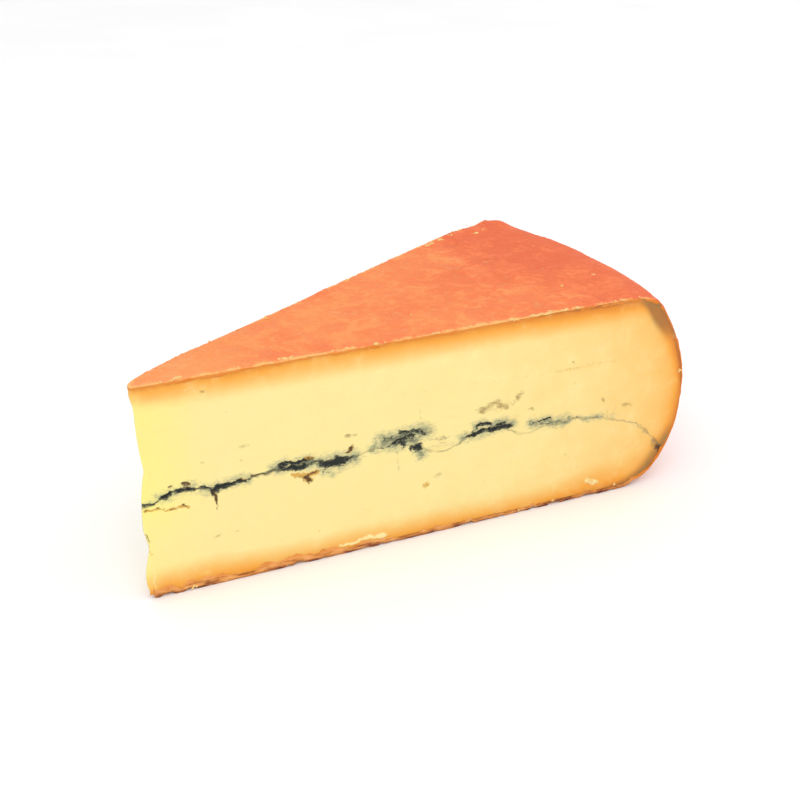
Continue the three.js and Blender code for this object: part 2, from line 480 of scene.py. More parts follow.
class Section:
    """The wheel's half section from the flat top's end round the rim to the flat base's end."""

    def __init__(self, wheel, height):
        flat, shoulder = wheel.radius - wheel.flat_margin, wheel.radius - wheel.shoulder_margin
        top, base, widest = wheel.top_shoulder, wheel.base_shoulder, wheel.widest
        bends = (
            ((flat, height), (flat + 6 * MM, height), (shoulder - 2 * MM, height - MM), (shoulder, top)),
            ((shoulder, top), (shoulder + 3 * MM, top - 4.2 * MM), (wheel.radius, widest + 12 * MM),
             (wheel.radius, widest)),
            ((wheel.radius, widest), (wheel.radius, widest - 14 * MM), (shoulder + 6 * MM, base + 6 * MM),
             (shoulder, base)),
            ((shoulder, base), (shoulder - 3.5 * MM, base - 3.5 * MM), (flat + 5.5 * MM, 0), (flat, 0)),
        )
        share = np.linspace(0, 1, 80)[:-1, None]
        line = np.concatenate([bezier(*bend, share) for bend in bends] + [[bends[-1][-1]]])
        self.line = line
        self.travel = np.concatenate([[0], np.hypot(*np.diff(line, axis=0).T).cumsum()])
        tangent = np.gradient(line, axis=0)
        normal = np.stack([-tangent[:, 1], tangent[:, 0]], -1)
        self.normal = normal / np.linalg.norm(normal, axis=1, keepdims=True)
        self.widest = int(line[:, 0].argmax())
        self.flat_radius = flat

    def at(self, share, sunk=0.0):
        """Radius and height at shares of the section's length, moved inwards by sunk."""
        travel = np.asarray(share) * self.travel[-1]
        moved = self.line - self.normal * np.asarray(sunk).reshape(-1, 1)
        return [np.interp(travel, self.travel, moved[:, k]) for k in (0, 1)]

    def share_facing(self, slope):
        """The share of the length at which the normal's upward part has fallen to slope."""
        return np.interp(-slope, -self.normal[:, 1], self.travel) / self.travel[-1]

    def depths(self, radius, height):
        """How far inside the top, the rim and the base a point lies, each along that side's normal."""

        def from_level(part):
            """The height to the section there, times the upward part of its normal."""
            order = np.argsort(self.line[part, 0])
            out, up = self.line[part][order].T
            rise = self.normal[part, 1][order]
            return (np.interp(radius, out, up) - height) * np.interp(radius, out, rise)

        top, base = from_level(slice(None, self.widest + 1)), from_level(slice(self.widest, None))
        out, up = self.line[::-1].T
        rim = (np.interp(height, up, out) - radius) * np.interp(height, up, self.normal[::-1, 0])
        return top, rim, base


class Plan:
    """The two cuts, the tip and the wheel's circles as seen from above."""

    def __init__(self, wheel, cuts):
        low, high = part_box(NODE)
        half = cuts.angle / 2
        self.front = np.array([math.cos(half), -math.sin(half)])
        self.back = np.array([math.cos(half), math.sin(half)])
        self.offset = np.array([cuts.centre_ahead, cuts.centre_aside])
        self.knife = np.zeros(2)
        self.knife = np.array(
            [
                low.x - cuts.front_tip * math.cos(half),
                low.y + self.reach(self.front, wheel.radius) * math.sin(half),
            ]
        )
        self.centre = self.knife + self.offset
        self.height = high.z - low.z
        self.cuts = cuts

    def reach(self, direction, radius):
        """How far along a cut it leaves the circle of that radius about the wheel's centre: where
        the line from the knife point meets the circle."""
        along = self.offset @ direction
        return along + np.sqrt(np.square(radius) - self.offset @ self.offset + along * along)

    def arc(self, radius, across):
        """Points on the wheel's circles from the front cut to the back cut, radius by across."""
        ends = []
        for direction in (self.front, self.back):
            point = self.reach(direction, radius)[..., None] * direction - self.offset
            ends.append(np.arctan2(point[..., 1], point[..., 0]))
        turn = ends[0][..., None] + (ends[1] - ends[0])[..., None] * across
        circle = np.stack([np.cos(turn), np.sin(turn)], -1)
        return self.centre + radius[..., None, None] * circle

    def tip_reach(self, height):
        """Where the front cut starts at each height: the blunt tip's edge is wavy."""
        return self.cuts.front_tip + smooth_curve(TIP_WAVE, height / MM) * MM

    def tip(self, height, across):
        """The blunt tip at each height, from the front cut to the back cut: a cubic in plan, whose
        front end follows the wavy edge and whose first bend leans out under the top."""
        start = self.tip_reach(height)[..., None, None] * self.front
        end = self.cuts.back_tip * self.back
        lean = step(height, self.height - 12 * MM, self.height)[..., None, None]
        bend = np.array([self.cuts.tip_bend_ahead, self.cuts.tip_bend_aside])
        first = (start + 2 * bend) / 3 + lean * self.cuts.tip_lip * np.array(LIP_LEAN)
        second = (2 * bend + end) / 3
        return self.knife + bezier(start, first, second, end, across[:, None])

    def radius_of(self, plan):
        return np.linalg.norm(plan - self.centre, axis=-1)

    def along_cut(self, plan, direction):
        return (plan - self.knife) @ direction

    def wander(self, points):
        """Moves finished points as the knife and wear moved the real faces: the back cut swells where
        the knife wandered, and the top's far corner is worn in and has a raised crust."""
        plan = points[..., :2]
        from_front = np.abs((plan - self.knife) @ np.array([-self.front[1], self.front[0]]))
        from_back = np.abs((plan - self.knife) @ np.array([-self.back[1], self.back[0]]))
        share = from_front / (from_front + from_back + 1e-9)
        along = self.along_cut(plan, self.back)
        swell = self.cuts.bow * bell(along - BOW_MIDDLE, BOW_REACH) * share**2
        outward = np.array([-self.back[1], self.back[0]])
        high = step(points[..., 2], self.height - 14 * MM, self.height)
        worn = self.cuts.worn * bell(along - WORN_MIDDLE, WORN_REACH) * share**4 * high
        crust = self.knife + np.array(CRUST_PLACE)
        raised = self.cuts.crust * bell(np.linalg.norm(plan - crust, axis=-1), CRUST_REACH) * high
        moved = points.copy()
        moved[..., :2] += (swell - worn)[..., None] * outward
        moved[..., 2] += raised
        return moved


# ---------------------------------------------------------------------------------------------
# Meshes
# ---------------------------------------------------------------------------------------------


def quads(grid, turned=False):
    """The four corners of each cell of a grid, whether it holds vertex numbers or map places. They
    face along rows x columns, or the other way if turned."""
    corners = (grid[:-1, :-1], grid[1:, :-1], grid[1:, 1:], grid[:-1, 1:])
    return np.stack(corners[::-1] if turned else corners, 2).reshape(-1, 4, *grid.shape[2:])


def fans(fine, coarse):
    """The corners of triangles between a line and one with a quarter of its steps: the first half of
    each four steps fans to one coarse point and the second half to the next."""
    a, b, c, d, e = fine[0:-1:4], fine[1::4], fine[2::4], fine[3::4], fine[4::4]
    here, there = coarse[:-1], coarse[1:]
    triangles = ((b, a, here), (c, b, here), (c, here, there), (d, c, there), (e, d, there))
    return np.concatenate([np.stack(triangle, 1) for triangle in triangles])


def chart_places(rows, columns, chart):
    """Even places over a chart, which is the left, low, right and high side of a part of the map."""
    left, low, right, high = chart
    across, up = np.linspace(left, right, columns), np.linspace(low, high, rows)
    return np.stack(np.broadcast_arrays(across[None], up[:, None]), -1)


class Surface:
    """Points, faces and map places, gathered part by part."""

    def __init__(self):
        self.points, self.faces, self.places, self.count = [], [], [], 0

    def add_points(self, points):
        """Adds points and returns their numbers in the same arrangement."""
        numbers = self.count + np.arange(math.prod(points.shape[:-1])).reshape(points.shape[:-1])
        self.points.append(points.reshape(-1, 3))
        self.count += numbers.size
        return numbers

    def add_grid(self, index, chart, turned=False):
        """Adds a grid of quads and spreads it over a chart of the map."""
        self.faces.append(quads(index, turned))
        self.places.append(quads(chart_places(*index.shape, chart), turned))

    def add_fans(self, fine, coarse, chart):
        """Adds fans between a line and one with a quarter of its steps."""
        edges = chart_places(2, len(fine), chart)
        self.faces.append(fans(fine, coarse))
        self.places.append(fans(edges[0], edges[1, ::4]))

    def add_pole(self, pole, line, chart, turned=False):
        """Adds triangles from one point to each step of a line."""
        edges = chart_places(2, len(line), chart)
        for store, tip, base in (
            (self.faces, np.full(len(line) - 1, pole), line),
            (self.places, (edges[1, :-1] + edges[1, 1:]) / 2, edges[0]),
        ):
            part = np.stack([tip, base[:-1], base[1:]], 1)
            store.append(part[:, ::-1] if turned else part)

    def corners(self):
        return np.concatenate([part.reshape(-1) for part in self.faces])

    def sizes(self):
        return np.concatenate([np.full(len(part), part.shape[1]) for part in self.faces])


def make_piece(name, surface, fields, material):
    """A smooth-shaded mesh object from a surface and named numbers at its points."""
    mesh = bpy.data.meshes.new(name)
    points, corners, sizes = np.concatenate(surface.points), surface.corners(), surface.sizes()
    mesh.vertices.add(len(points))
    mesh.vertices.foreach_set("co", points.astype(np.float32).ravel())
    mesh.loops.add(len(corners))
    mesh.loops.foreach_set("vertex_index", corners.astype(np.int32))
    mesh.polygons.add(len(sizes))
    mesh.polygons.foreach_set("loop_start", (sizes.cumsum() - sizes).astype(np.int32))
    mesh.update(calc_edges=True)
    places = np.concatenate([part.reshape(-1) for part in surface.places])
    mesh.uv_layers.new(name="OFBake").data.foreach_set("uv", places.astype(np.float32))
    if mesh.validate():
        raise RuntimeError(f"{name} has faces that don't join up")
    for field, values in fields.items():
        attribute = mesh.attributes.new(field, "FLOAT", "POINT")
        attribute.data.foreach_set("value", values.astype(np.float32).ravel())
    mesh.shade_smooth()
    mesh.materials.append(material)
    piece = bpy.data.objects.new(name, mesh)
    bpy.context.scene.collection.objects.link(piece)
    return piece


def place_piece(piece, stands_for_node):
    """Fixes a finished piece to the wedge's body and, if the piece stands for the wedge, hides the imported
    wedge.
    """
    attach(piece, BODY)
    if stands_for_node:
        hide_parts(NODE)


# ---------------------------------------------------------------------------------------------
# Paste
# ---------------------------------------------------------------------------------------------


def by_side(rind, up):
    """The rind's thickness where its normal has that upward part."""
    return np.interp(up, (-1, 0, 1), (rind.base_thickness, rind.rim_thickness, rind.top_thickness))


def cut_face(plan, section, sunk, direction, starts, along, up):
    """Distance along a cut and height of the paste's face, for shares along it and up it.

    The face is a Coons patch: its left edge is the tip's edge, its right edge the rim between the
    points where a shoulder faces 45 degrees, and its lower and upper edges follow the base and the
    top to those points. A point is the sum of the two blends between opposite edges less the blend
    between the four corners.
    """
    slanted = math.sqrt(0.5)
    share_low, share_high = section.share_facing(-slanted), section.share_facing(slanted)
    line = np.stack(section.at(section.travel / section.travel[-1], sunk), -1)
    upper, lower = line[: section.widest + 1], line[section.widest :][::-1]

    def rim(v):
        radius, height = section.at(share_low + (share_high - share_low) * v, sunk)
        return np.stack([plan.reach(direction, radius), height], -1)

    def level(u, side):
        start, end = tip(np.full_like(u, side))[..., 0], rim(np.full_like(u, side))[..., 0]
        distance = start + (end - start) * u
        radius = plan.radius_of(plan.knife + distance[..., None] * direction)
        outline = upper if side else lower
        return np.stack([distance, np.interp(radius, *outline.T)], -1)

    def tip(v):
        height = lower[0, 1] + (upper[0, 1] - lower[0, 1]) * v
        return np.stack([starts(height), height], -1)

    u, v = np.broadcast_arrays(along, up)
    a, b = u[..., None], v[..., None]
    sides = (1 - a) * tip(v) + a * rim(v)
    levels = (1 - b) * level(u, 0) + b * level(u, 1)
    zero, one = np.zeros(1), np.ones(1)
    corners = (1 - b) * ((1 - a) * tip(zero) + a * rim(zero)) + b * ((1 - a) * tip(one) + a * rim(one))
    patch = sides + levels - corners
    return patch[..., 0], patch[..., 1]


def row_shares(rows, ash_share):
    """Heights of the rows as shares, with the middle row on the ash line and the rows closer together
    at the line and at both edges."""
    half = graded(rows // 2, 0.45)[:, None]
    below = half * ash_share
    above = ash_share + (1 - ash_share) * half
    return np.concatenate([below, above[1:]])


def cut_with_ash(plan, section, sunk, direction, starts, along, rows, course):
    """A cut's face whose middle row lies on the ash line. The row's share is found by moving it a few
    times by the height it is off."""
    ash = np.full(len(along), 0.45)
    for _ in range(12):
        distance, height = cut_face(plan, section, sunk, direction, starts, along, ash)
        ash = np.clip(ash + (smooth_curve(course, distance / MM) * MM - height) / plan.height, 0.04, 0.9)
    return cut_face(plan, section, sunk, direction, starts, along, row_shares(rows, ash))


def ash_level(distance, height, course):
    """Height above the ash line in millimetres, measured square to the line."""
    along, step_size = distance / MM, 0.5
    rise = smooth_curve(course, along + step_size) - smooth_curve(course, along - step_size)
    slope = rise / (2 * step_size)
    return (height / MM - smooth_curve(course, along)) / np.sqrt(1 + slope**2)


def ripeness(section, radius, height):
    """How far each point is from the rind in ripening terms: 0 at the rind, 1 where the paste is pale.
    Ripening reaches about 8 mm in from the top, and from the base 8 mm near the tip and 14 mm near the
    rim. From the rim it is strong for 4 mm and then fades over 34 mm."""
    top, rim, base = (d / MM for d in section.depths(radius, height))
    from_top = top / 8.8 + 0.06 - 0.18 * step(radius, 0.1, 0.16)
    from_rim = 0.55 * (1 - np.exp(-rim / 3)) + 0.5 * (1 - np.exp(-rim / 34))
    near_rim = step(radius, 0.12, 0.15)
    from_base = base / (10 + 6 * near_rim) + 0.17 * step(radius, 0.036, 0.05) - 0.09 * near_rim
    return np.clip(smallest([from_top, from_rim, from_base], 0.05), -0.2, 1.3)


def tarnish(section, radius, height):
    """How much shade is painted on the paste: painted shade, most where the top's shoulder and the tuck
    above the base come to the rim, where shade falls under the shoulder and in the tuck."""
    _, rim, _ = (d / MM for d in section.depths(radius, height))
    outermost = step(radius, section.flat_radius + 2 * MM, section.flat_radius + 11 * MM)
    shoulder = step(height / MM, 44, 59) * bell(rim - 2.9, 2.7) * outermost
    tuck = step(height / MM, 25, 12) * bell(rim - 1, 4)
    return np.maximum(1.35 * shoulder, tuck)


def scattered_strokes(draw, course, count):
    """Smears, haze and stains for a cut, strewn along its ash line by the seeded generator."""
    smears, haze, stains = [], [], []
    first, last = course[0][0], course[-1][0] - 24
    for _ in range(count):
        start = draw.uniform(first, last)
        extent, lift, tilt = draw.uniform(1.5, 6), draw.normal(0, 1), draw.normal(0, 0.5)
        level = float(smooth_curve(course, np.array(start))) + lift
        width = draw.uniform(0.35, 0.95)
        smears.append((start, level, start + extent, level + tilt, width, draw.uniform(0.7, 1)))
        haze.append((start - 1, level, start + extent + 1, level + tilt, width * 2.3, 0.8))
        if draw.random() < 0.35:
            drop = draw.uniform(2, 5)
            stains.append((start, level - 1, start + 0.3, level - 1 - drop, 0.35, draw.uniform(0.4, 0.9)))
    return smears, haze, stains


def scattered_smudges(draw, count, first, last):
    """Small faint marks strewn over a cut."""
    marks = []
    for _ in range(count):
        x, y = draw.uniform(first, last), draw.uniform(8, 58)
        marks.append((x, y, x + draw.uniform(0.3, 1.6), y, draw.uniform(0.3, 0.7), draw.uniform(0.3, 0.75)))
    return marks


def cut_fields(points, distance, height, course, line, strokes):
    """The numbers that the paste's material reads on one cut. The strokes' outlines wander, because
    each point looks them up a little to one side of its own place."""
    along, up = distance / MM, height / MM
    sway = rough_noise(points, 4 * MM, 401), rough_noise(points, 4 * MM, 411)
    jitter = lattice_noise(points, 1.3 * MM, 421), lattice_noise(points, 1.1 * MM, 431)
    x = along + 1.1 * sway[0] + 0.45 * jitter[0]
    y = up + 0.7 * sway[1] + 0.35 * jitter[1]
    fields = {name: stroke_dose(x, y, marks) for name, marks in strokes.items()}
    fields["ash_level"] = ash_level(distance, height, course) + 0.5 * sway[1] + 0.2 * jitter[1]
    fields["ash_line"] = smooth_curve(line, along) * np.clip(0.8 + 0.9 * sway[0], 0.25, 1)
    return fields


def tip_fields(front, back, across):
    """The numbers on the tip: the front cut's at its edge fading to the back cut's at the other."""
    share = step(across, 0.15, 0.85)
    return {name: front[name][:, :1] * (1 - share) + back[name][:, :1] * share for name in front}


def paste_relief(points, fields, edge_depth):
    """How far the paste's surface stands out, in millimetres: slow waves and fine grain from noise,
    thin drag lines that run along the cut, a hollow just under the rind, a groove along the ash line,
    pits where there is thick ash or a stain, and raised scraps."""
    waves = 0.2 * rough_noise(points, 34 * MM, 11, 2) + 0.06 * rough_noise(points, 7 * MM, 21)
    grain = 0.03 * rough_noise(points, 2.2 * MM, 31)
    drawn_out = points * (0.02, 0.02, 1) + points[..., :1] * (0, 0, 0.02)
    drag = 0.04 * rough_noise(drawn_out, 1.6 * MM, 41) * step(rough_noise(points, 30 * MM, 43), -0.1, 0.5)
    hollow = -0.1 * bell(edge_depth / MM - 1.4, 0.9)
    lumpy = 0.6 + 0.4 * rough_noise(points, 3 * MM, 51)
    groove = -0.28 * bell(fields["ash_level"], 0.4) * fields["ash_line"] * lumpy
    layers = 0.08 * np.tanh(fields["ash_level"] / 2)
    pits = -0.5 * step(fields["ash_smear"] + 0.25 * rough_noise(points, 1.4 * MM, 61), 0.45, 0.9)
    holes = -0.6 * step(fields["stain"] * (0.9 + 0.3 * rough_noise(points, 1.2 * MM, 71)), 0.35, 0.9)
    dimples = -0.18 * step(fields["smudge"], 0.2, 0.7)
    scraps = 0.35 * step(fields["scrap"] + 0.2 * rough_noise(points, 1.2 * MM, 81), 0.25, 0.8)
    return waves + grain + drag + hollow + groove + layers + pits + holes + dimples + scraps


def paste_surface(plan, section, rind, fineness):
    """The paste's surface and fields.

    A wall of cut_rows by columns runs from the back cut's rim end to the tip, across the tip and
    along the front cut to its rim end. The hidden top, base and rim, which the rind covers, are
    ladders of quads between the two halves of the wall.
    """
    cuts = plan.cuts
    sunk = by_side(rind, section.normal[:, 1]) - OVERLAP
    along = graded(fineness.cut_columns, 0.75)
    across = np.linspace(0, 1, fineness.tip_columns + 1)
    draw = np.random.default_rng(7)
    smears, haze, stains = scattered_strokes(draw, BACK_COURSE, count=30)
    smudges = scattered_smudges(draw, count=34, first=36, last=190)
    names = "ash_smear", "ash_haze", "stain", "smudge", "gilt", "scrap"
    front_strokes = dict(zip(names, (ASH_SMEARS, ASH_HAZE, STAINS, SMUDGES, GILT, SCRAPS)))
    back_strokes = dict(zip(names, (smears, haze, stains, smudges, smudges[:6], smudges[6:10])))

    def back_start(height):
        return cuts.back_tip + 0.5 * MM * np.sin(height / (7 * MM))

    walls, fields = {}, {}
    for name, direction, starts, course, line, strokes in (
        ("front", plan.front, plan.tip_reach, FRONT_COURSE, FRONT_LINE, front_strokes),
        ("back", plan.back, back_start, BACK_COURSE, BACK_LINE, back_strokes),
    ):
        distance, height = cut_with_ash(
            plan, section, sunk, direction, starts, along, fineness.cut_rows, course
        )
        place = plan.knife + distance[..., None] * direction
        walls[name] = np.concatenate([place, height[..., None]], -1)
        fields[name] = cut_fields(walls[name], distance, height, course, line, strokes)

    # The tip is the plan's cubic, with its ends moved to where the two cuts start.
    front_edge, back_edge = walls["front"][:, :1], walls["back"][:, :1]
    share = across[:, None]
    height = front_edge[..., 2:] * (1 - step(share, 0, 1)) + back_edge[..., 2:] * step(share, 0, 1)
    curve = plan.tip(height.mean((1, 2)), across)
    curve += (front_edge[..., :2] - curve[:, :1]) * (1 - share)
    curve += (back_edge[..., :2] - curve[:, -1:]) * share
    walls["tip"] = np.concatenate([curve, height], -1)
    fields["tip"] = tip_fields(fields["front"], fields["back"], across)

    def joined(parts):
        """Back, tip and front parts side by side, from the back cut's rim end to the front cut's."""
        return np.concatenate([parts["back"][:, ::-1], parts["tip"][:, -2:0:-1], parts["front"]], 1)

    wall = joined(walls)
    values = {name: joined({part: fields[part][name] for part in fields}) for name in fields["front"]}
    radius = plan.radius_of(wall[..., :2])
    values["ripeness"] = ripeness(section, radius, wall[..., 2])
    # Painted shade on the paste: under the top's shoulder and in the tuck above the base, at the rim.
    values["tarnish"] = tarnish(section, radius, wall[..., 2])
    edge_depth = np.min(section.depths(radius, wall[..., 2]), axis=0)
    outward = np.cross(np.gradient(wall, axis=1), np.gradient(wall, axis=0))
    outward /= np.linalg.norm(outward, axis=-1, keepdims=True)
    wall = wall + outward * paste_relief(wall, values, edge_depth)[..., None] * MM
    return close_wall(plan.wander(wall), values, fineness)


def close_wall(wall, values, fineness):
    """The wall with a hidden top, base and rim.

    The wall's columns are paired from the tip's middle outwards, and each pair is joined by a few
    quads. The first pair is a fan from the tip's middle column.
    """
    surface = Surface()
    index = surface.add_points(wall)
    middle, steps = wall.shape[1] // 2, 8
    cut, tip = fineness.cut_columns, fineness.tip_columns
    surface.add_grid(index[:, : cut + 1], (0, 0.4, 1, 0.78), turned=True)
    surface.add_grid(index[:, cut : cut + tip + 1], (0, 0.79, 0.45, 1), turned=True)
    surface.add_grid(index[:, cut + tip :], (0, 0, 1, 0.39), turned=True)
    share = np.linspace(0, 1, steps + 1)[1:-1, None]
    nearest = [index.ravel()]

    def ladder(front, back, inwards):
        """Numbers from the front points to the back points, with new points between them that lie
        further in, as a parabola from edge to edge."""
        start, end = wall.reshape(-1, 3)[front], wall.reshape(-1, 3)[back]
        sag = 4 * share * (1 - share) * np.array(inwards) * MM
        between = surface.add_points(start[:, None] * (1 - share) + end[:, None] * share + sag)
        nearest.append(np.repeat(front, steps - 1))
        return np.concatenate([front[:, None], between, back[:, None]], 1)

    pairs = np.arange(1, middle + 1)
    top = ladder(index[-1, middle + pairs], index[-1, middle - pairs], (0, 0, -1.5))
    base = ladder(index[0, middle + pairs], index[0, middle - pairs], (0, 0, 1.5))
    side = ladder(index[1:-1, -1], index[1:-1, 0], (0, 0, 0))
    rim = np.concatenate([base[-1:], side, top[-1:]])
    surface.add_grid(top, (0.46, 0.79, 1, 0.84))
    surface.add_grid(base, (0.46, 0.85, 1, 0.9), turned=True)
    surface.add_grid(rim, (0.46, 0.91, 1, 0.96), turned=True)
    surface.add_pole(index[-1, middle], top[0], (0.46, 0.97, 0.7, 1))
    surface.add_pole(index[0, middle], base[0], (0.72, 0.97, 1, 1), turned=True)
    numbers = np.concatenate(nearest)
    return surface, {name: value.ravel()[numbers] for name, value in values.items()}


# ---------------------------------------------------------------------------------------------
# Rind
# ---------------------------------------------------------------------------------------------


def rind_sheet(plan, section, fineness):
    """The wheel's outside from the tip over the top, down the rim and back under the base to the tip.

    Rows on the flat top and base go straight from the tip's curve to the circle where the flat ends,
    and rows down the rim are arcs of the section's radius at the section's height. Columns run from
    the front cut to the back cut.
    """
    across = graded(fineness.rind_columns, 0.45)
    circle = plan.arc(np.array([section.flat_radius]), across)[0]

    def flat(count, height):
        share = graded(count, 0.6)[:, None, None]
        tip = plan.tip(np.array([height]), across)[0]
        plane = (1 - share) * tip + share * circle
        return np.concatenate([plane, np.full(plane.shape[:2] + (1,), height)], -1)

    radius, height = section.at(np.linspace(0, 1, fineness.side_rows + 1))
    side = plan.arc(radius, across)
    side = np.concatenate([side, np.broadcast_to(height[:, None, None], side.shape[:2] + (1,))], -1)
    top, base = flat(fineness.top_rows, plan.height), flat(fineness.base_rows, 0.0)
    return np.concatenate([top[:-1], side, base[::-1][1:]])


def sheet_normals(sheet):
    """Unit normals of a grid of points: the steps along rows crossed with those along columns."""
    normal = np.cross(np.gradient(sheet, axis=0), np.gradient(sheet, axis=1))
    return normal / np.linalg.norm(normal, axis=-1, keepdims=True)


def travel(points):
    """Distance along each line of points, from its first point."""
    lengths = np.linalg.norm(np.diff(points, axis=1), axis=-1).cumsum(1)
    return np.concatenate([np.zeros((len(points), 1)), lengths], 1)


def crease_height(points):
    """The height of the crease round the rim, where the two layers of curd met: it starts at the ash
    line's height on the front cut and ends at its height on the back cut, and waves between."""
    share = step(points[..., 1], -48 * MM, 50 * MM)
    wave = 1.5 * MM * np.sin(points[..., 1] / (9 * MM)) * share * (1 - share) * 4
    return (10.4 + 0.6 * share) * MM + wave


def rind_relief(plan, section, points, edge, amount):
    """How far the rind stands out, in millimetres: slow waves, dimples and wrinkles from noise, a
    crease round the rim, edges that droop slightly, and a base that is pressed flat and chipped at its
    edges. Close to the edges nothing sinks so far that the paste would show."""
    waves = 0.28 * rough_noise(points, 30 * MM, 101, 2) + 0.14 * rough_noise(points, 8 * MM, 111, 2)
    wrinkles = 0.26 * (0.35 - np.abs(rough_noise(points, 4.2 * MM, 121, 3)))
    pimples = 0.12 * step(lattice_noise(points, 1.7 * MM, 131), 0.35, 0.8)
    dents = -0.5 * step(lattice_noise(points, 9 * MM, 141), 0.62, 0.95)
    relief = (waves + wrinkles + pimples + dents) * amount
    out = plan.radius_of(points[..., :2])
    on_rim = step(out, section.flat_radius + 6 * MM, section.flat_radius + 12 * MM)
    depth = 0.5 + 0.3 * rough_noise(points, 12 * MM, 151)
    crease = -depth * bell((points[..., 2] - crease_height(points)) / MM, 1.3) * on_rim
    frayed = 0.22 * step(lattice_noise(points, 2.2 * MM, 155), 0.1, 0.6) * bell(edge - 0.8, 0.9)
    droop = frayed - 0.35 * np.exp(-edge / 0.5)
    under = 1 - step(points[..., 2], 0.2 * MM, 3 * MM)
    pressed = -0.25 * step(rough_noise(points, 6 * MM, 161), 0.1, 0.8) - 0.1
    chips = -0.9 * step(rough_noise(points, 4.5 * MM, 165), 0.0, 0.5) * np.exp(-edge / 1.2)
    lowest = -0.3 - 0.7 * step(edge, 2, 12)
    return np.maximum(relief + crease + droop, lowest) * (1 - under) + (pressed + chips) * under


def rind_surface(plan, section, rind, fineness):
    """The rind's surface and fields: the outer sheet, a ragged edge all round it that stands a little
    proud of the cuts, and a coarse inner sheet that is sunk into the paste."""
    sheet = rind_sheet(plan, section, fineness)
    normal = sheet_normals(sheet)
    rows, columns = sheet.shape[:2]
    from_front = travel(sheet)
    from_back = from_front[:, -1:] - from_front
    run = travel(sheet[None, :, columns // 2])[0]
    from_tip = np.minimum(run, run[-1] - run)[:, None]
    edge = np.minimum(np.minimum(from_front, from_back), from_tip) / MM
    relief = rind_relief(plan, section, sheet, edge, rind.relief) * MM
    outer = sheet + normal * relief[..., None]

    # The loop round the sheet: along the front cut, across the tip's base, back along the back cut
    # and across the tip's top. It ends where it starts.
    i, j = np.arange(rows), np.arange(columns)
    last_row, last_column = np.full(columns - 1, rows - 1), np.full(rows - 1, columns - 1)
    at_row = np.concatenate([i[:-1], last_row, i[:0:-1], np.zeros(columns, int)])
    at_column = np.concatenate([np.zeros(rows - 1, int), j[:-1], last_column, j[::-1]])
    lip = outer[at_row, at_column]
    inside = sheet[np.clip(at_row, 2, rows - 3), np.clip(at_column, 2, columns - 3)]
    away = sheet[at_row, at_column] - inside
    away /= np.linalg.norm(away, axis=-1, keepdims=True)
    down = -normal[at_row, at_column]
    at_base = np.clip(down[:, 2], 0, 1)
    ragged = 0.6 * (1 + at_base) * rough_noise(lip, 7 * MM, 171) + 0.4 * rough_noise(lip, 2 * MM, 175, 2)
    tapered = 1.15 - 0.6 * at_base * step(lip[:, 0], -45 * MM, 0)
    thickness = by_side(rind, -down[:, 2]) * tapered * np.clip(1 + ragged, 0.4, 1.6)
    rough = np.interp(down[:, 2], (-1, 0, 1), (0.1, 0.19, 0.3))
    proud = (0.1 + rough * rough_noise(lip, 2.6 * MM, 181)) * MM

    surface = Surface()
    index = surface.add_points(outer)
    surface.add_grid(index[: fineness.top_rows + 1], (0, 0, 1, 0.4))
    surface.add_grid(index[fineness.top_rows : rows - fineness.base_rows], (0, 0.41, 0.49, 0.71))
    surface.add_grid(index[rows - fineness.base_rows - 1 :], (0.51, 0.41, 1, 0.71))

    loops = [index[at_row, at_column]]
    layers = ((0.12, 0.5), (0.3, 1.0), (0.55, 0.8), (0.8, 0.5), (1.0, -0.2), (1.15, -2.2))
    for depth, share in layers:
        grain = 0.1 * MM * (1 + at_base) * lattice_noise(lip + depth * 7 * MM, 1.1 * MM, 191) * (share > 0)
        out = (share * proud if share >= 0 else share * 0.25 * MM) + grain
        edge_line = lip + away * out[:, None] + down * (thickness * depth)[:, None]
        numbers = surface.add_points(edge_line[:-1])
        loops.append(np.append(numbers, numbers[0]))
    ribbon = np.stack(loops)
    ends = np.linspace(0, len(lip) - 1, 7).astype(int)
    for k, (start, end) in enumerate(zip(ends, ends[1:])):
        surface.add_grid(ribbon[:, start : end + 1], (0, 0.72 + 0.03 * k, 1, 0.745 + 0.03 * k))

    inner_row = np.rint(np.linspace(2, rows - 3, (rows - 1) // 4 + 1)).astype(int)
    inner_column = np.rint(np.linspace(2, columns - 3, (columns - 1) // 4 + 1)).astype(int)
    grid = np.ix_(inner_row, inner_column)
    buried = by_side(rind, normal[grid][..., 2]) + 0.5 * MM
    inner = surface.add_points(sheet[grid] - normal[grid] * buried[..., None])
    coarse = inner[at_row[::4] // 4, at_column[::4] // 4]
    surface.add_fans(loops[-1], coarse, (0, 0.905, 1, 0.925))
    surface.add_grid(inner, (0, 0.93, 1, 1), turned=True)

    moved = plan.wander(np.concatenate(surface.points))
    moved[:, 2] = np.maximum(moved[:, 2], 0)
    surface.points = [moved]
    spare = np.zeros(inner.size)
    shade = [0.5 * np.exp(-edge.ravel() / 0.4), np.ones((len(lip) - 1) * len(layers)), spare]
    inset = [edge.ravel(), np.zeros((len(lip) - 1) * len(layers)), spare]
    return surface, {"cut_edge": np.concatenate(shade), "edge_distance": np.concatenate(inset)}


# ---------------------------------------------------------------------------------------------
# Crumbs
# ---------------------------------------------------------------------------------------------


